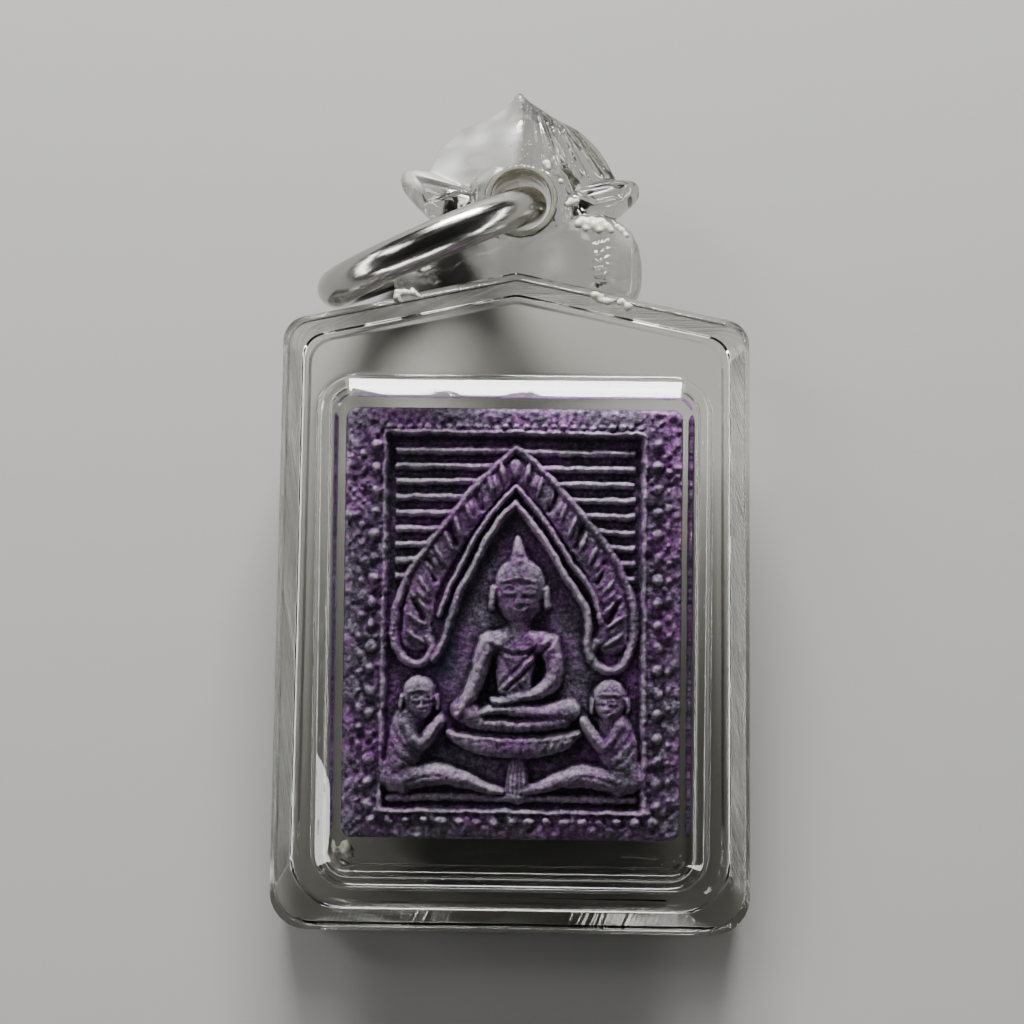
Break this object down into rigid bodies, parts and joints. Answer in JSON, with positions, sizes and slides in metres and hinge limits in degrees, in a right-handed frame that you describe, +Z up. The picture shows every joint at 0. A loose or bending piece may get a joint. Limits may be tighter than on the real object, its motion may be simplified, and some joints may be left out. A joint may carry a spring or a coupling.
{
  "type": "amulet pendant in clear casing",
  "caption": "House-shaped clear casing with a relief tablet in its raised box, a lotus bail on top and a steel ring that swings through the bail.",
  "frame": {"origin": "centre of the bounding box on the surface that the pendant lies on, face up", "axes": "+X to the right of the pendant's face, +Y to the top of the pendant, +Z up, out of its face"},
  "size_m": [0.028, 0.05, 0.0145],
  "materials": {
    "clear_acrylic": "polished clear acrylic sheet",
    "moulded_acrylic": "moulded clear acrylic, partly frosted",
    "pressed_powder": "coarse pressed powder, dark violet",
    "polished_steel": "polished stainless steel"
  },
  "bodies": {
    "casing": {"front_shell": "clear_acrylic", "back_plate": "clear_acrylic", "tablet": "pressed_powder", "lotus_bail": "moulded_acrylic", "bail_tube": "moulded_acrylic"},
    "hanging_ring": {"ring": "polished_steel"}
  },
  "joints": [
    {"name": "ring_swing", "type": "hinge", "parent": "casing", "child": "hanging_ring", "pos_m": [0.0002, 0.01772, 0.00752], "axis": [0, 0.1197, -0.9928], "range_deg": [0, 228]}
  ]
}
